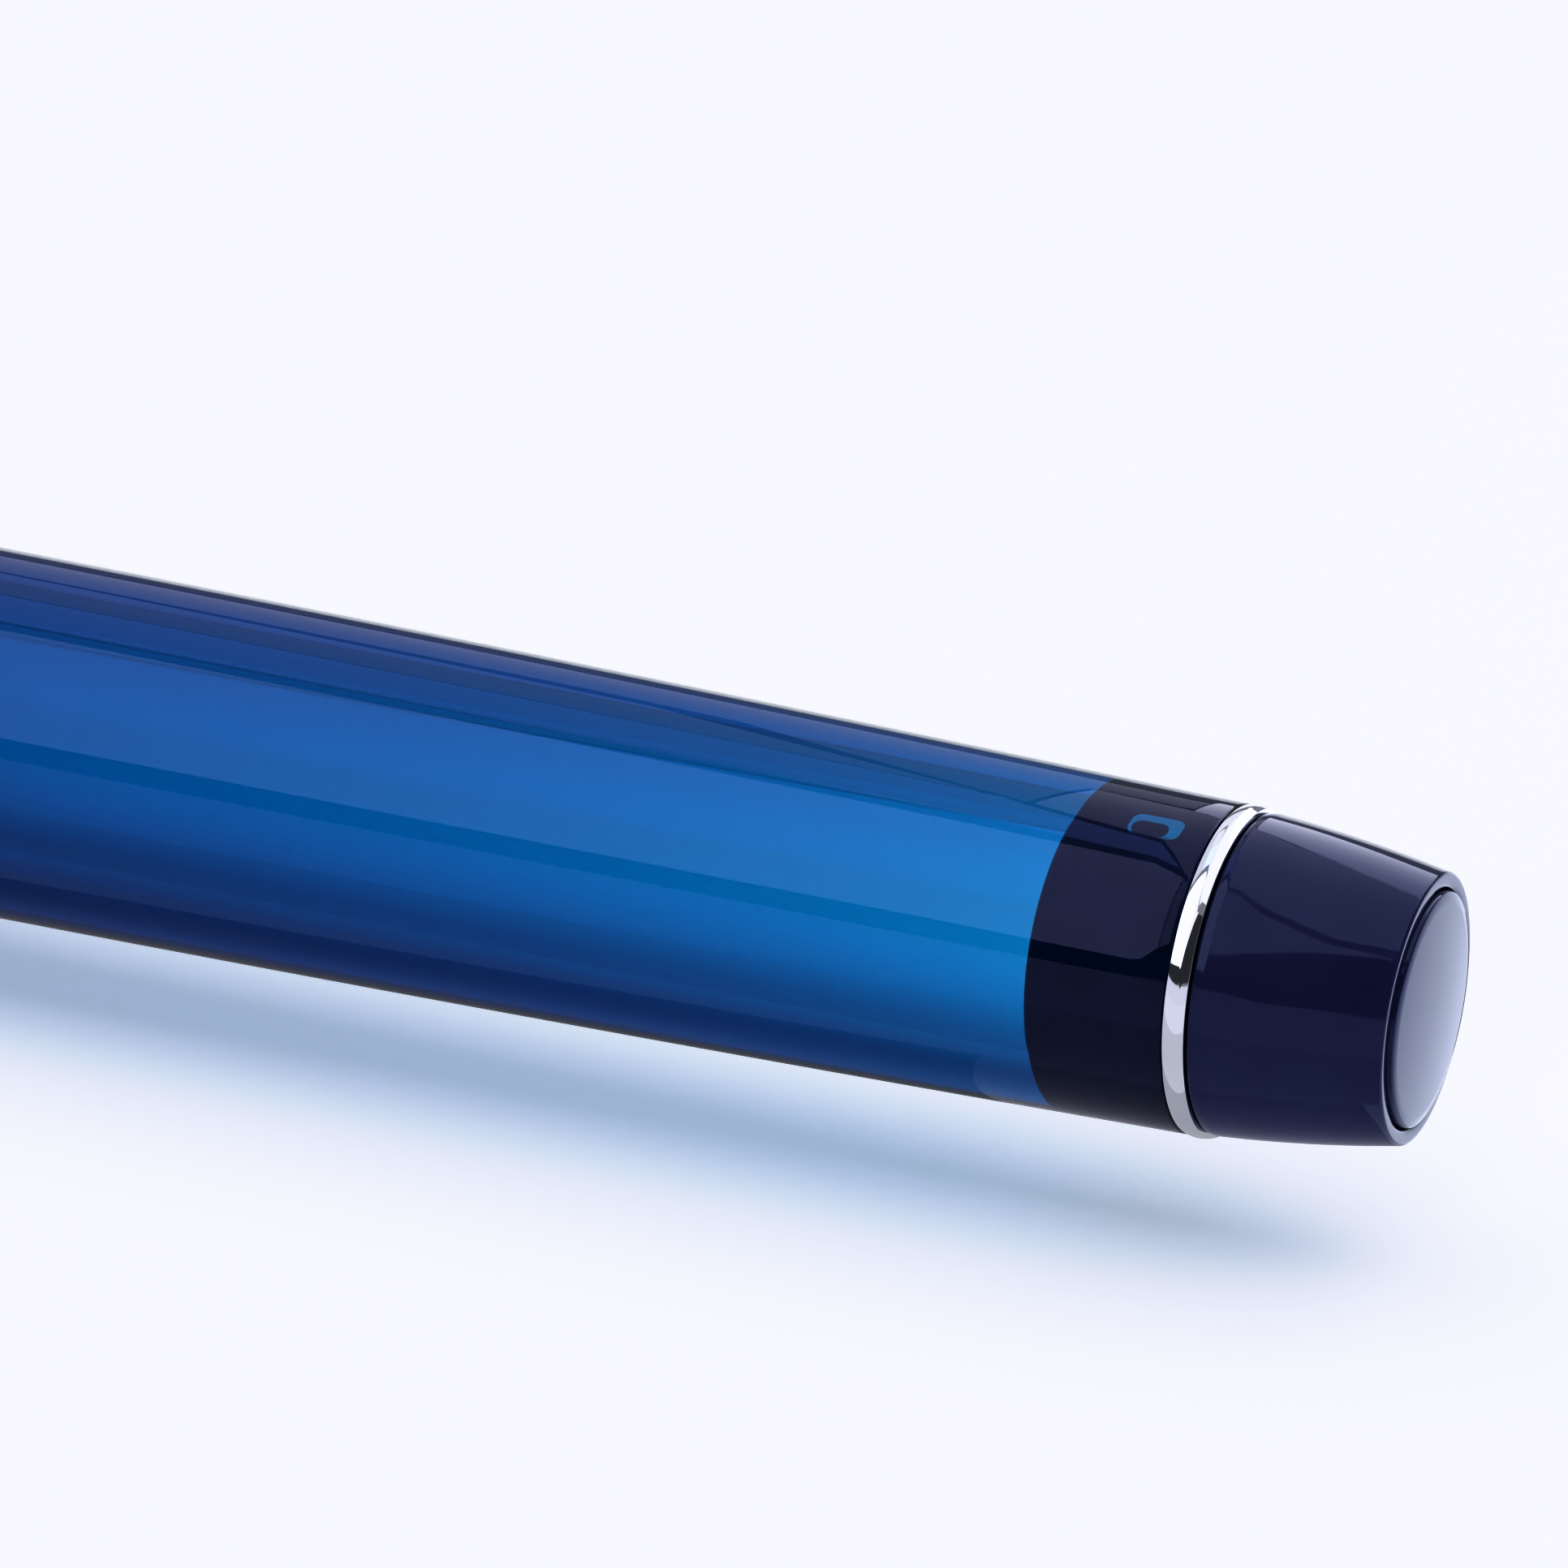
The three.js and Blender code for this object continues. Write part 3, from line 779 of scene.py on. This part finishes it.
def build_studio():
    """One soft lamp overhead, and cards for the soft boxes and dark gaps that the pen reflects."""
    lamp(
        "key", spot=(0.1, 0, 0.61), aim=(0.1, 0, 0), width=1.5, height=0.87, radiance=1.83,
        colour=(1.0, 0.97, 0.91),
    )
    card("front_box", 2.3, [
        (-1.6, 25, 93), (-0.2, 24, 93), (-0.164, 22.5, 91), (-0.132, 24, 87.5), (-0.1, 33, 84),
    ])
    card("front_tip", 1.5, [(-0.098, 33, 84), (-0.057, 41, 71), (0.005, 53, 61), (0.06, 60.5, 62)])
    card("far_box", 0.95, [(-1.6, 99.5, 144), (-0.422, 99.5, 144)])
    card("left_box", 1.7, [
        (-0.42, 99.5, 121), (-0.205, 99.5, 121), (-0.2, 99.5, 118), (-0.12, 91, 92),
    ], colour=(0.66, 0.82, 1.35))
    card("middle_box", 1.2, [(-0.42, 121.5, 144), (-0.27, 121.5, 140), (-0.21, 121.5, 122.5)])
    card("top_box", 1.15, [
        (-1.6, 145, 168), (-0.28, 145, 168), (-0.255, 143, 168), (-0.201, 121, 168), (-0.2, 152.5, 168),
        (-0.175, 153, 168),
    ])
    card("right_box", 1.8, [
        (-0.2, 121, 152), (-0.141, 101, 147), (-0.107, 89, 139), (-0.057, 75.5, 131),
        (0.009, 66, 123), (0.063, 69.5, 121), (0.3, 70, 110),
    ])
    card("streak", 3.3, [
        (-0.17, 150, 173), (-0.141, 147.5, 172), (-0.093, 137.5, 167), (-0.05, 130, 166), (0, 124, 165),
        (0.3, 110, 165),
    ], NEARER)
    card("dark_strip", 0.08, [
        (-1.6, 11.5, 25), (-0.2, 11.5, 24), (-0.164, 11.5, 22.5), (-0.132, 12.5, 24), (-0.1, 14, 33),
        (-0.035, 9.5, 45), (0, 11, 52), (0.06, 13.3, 60.5), (0.4, 14, 62),
    ], NEARER)
    card("horizon", 0.95, [(-1.6, -1, 11.5), (0.6, -1, 11.5)])
    floor_card("far_floor", 1.0, (-1.6, 0.5), (-1.6, -0.03))
    floor_card("near_floor", 0.8, (-1.6, 0.5), (-0.03, -0.008))
    floor_card("shade", 0.33, (-1.6, -0.016), (-0.008, 0.03))
    floor_card("tail_floor", 0.6, (-0.016, -0.001), (-0.008, 0.03))
    floor_card("low_card", 2.2, (0, 0.09), (0.005, 0.12), (0.86, 0.91, 1.03))
    card("backdrop", 0.38, [(x, -1, 181) for x in ROOM_ENDS], ROOM_DISTANCE)
    # the room that shows past the floor's edge and through the clear barrel, brighter on its far side
    clear = {"distance": ROOM_DISTANCE, "colour": (1.0, 1.0, 1.0), "gloss": False, "seen_through": True}
    card("near_room", 0.52, [(x, -1, 130) for x in ROOM_ENDS], **clear)
    card("far_room", 1.0, [(x, 130, 181) for x in ROOM_ENDS], **clear)
    world = bpy.data.worlds.new("studio")
    world.use_nodes = True
    back = world.node_tree.nodes["Background"]
    back.inputs["Color"].default_value = (0.1, 0.1, 0.11, 1)
    bpy.context.scene.world = world


# ---- Tones ----
CONTRAST = 1.5                     # the picture's tones are this power of the scene's light
SHOULDER = ((0.35, 0.35), (0.7, 0.7), (0.85, 0.825), (1.05, 0.9), (1.3, 0.955), (2.5, 1.0))
BLUE_SHOULDER = ((0.35, 0.35), (0.7, 0.7), (0.85, 0.86), (1.05, 0.955), (1.3, 0.99), (2.5, 1.0))


def set_tones():
    """A plain power for contrast, after a shoulder that keeps the pale floor just short of white."""
    view = bpy.context.scene.view_settings
    view.view_transform = "Standard"
    view.gamma = 1 / CONTRAST
    view.use_curve_mapping = True
    tones = view.curve_mapping
    tones.use_clip = True
    tones.clip_max_x = SHOULDER[-1][0]
    for curve, points in zip(tones.curves, (SHOULDER, SHOULDER, BLUE_SHOULDER)):
        curve.points[1].location = points[-1]
        for point in points[:-1]:
            curve.points.new(*point)
        for point in curve.points:
            point.handle_type = "AUTO_CLAMPED"
    tones.update()


build_camera()
build_floor()
build_studio()
set_tones()
bpy.context.scene.cycles.max_bounces = 20
bpy.context.scene.cycles.transmission_bounces = 16
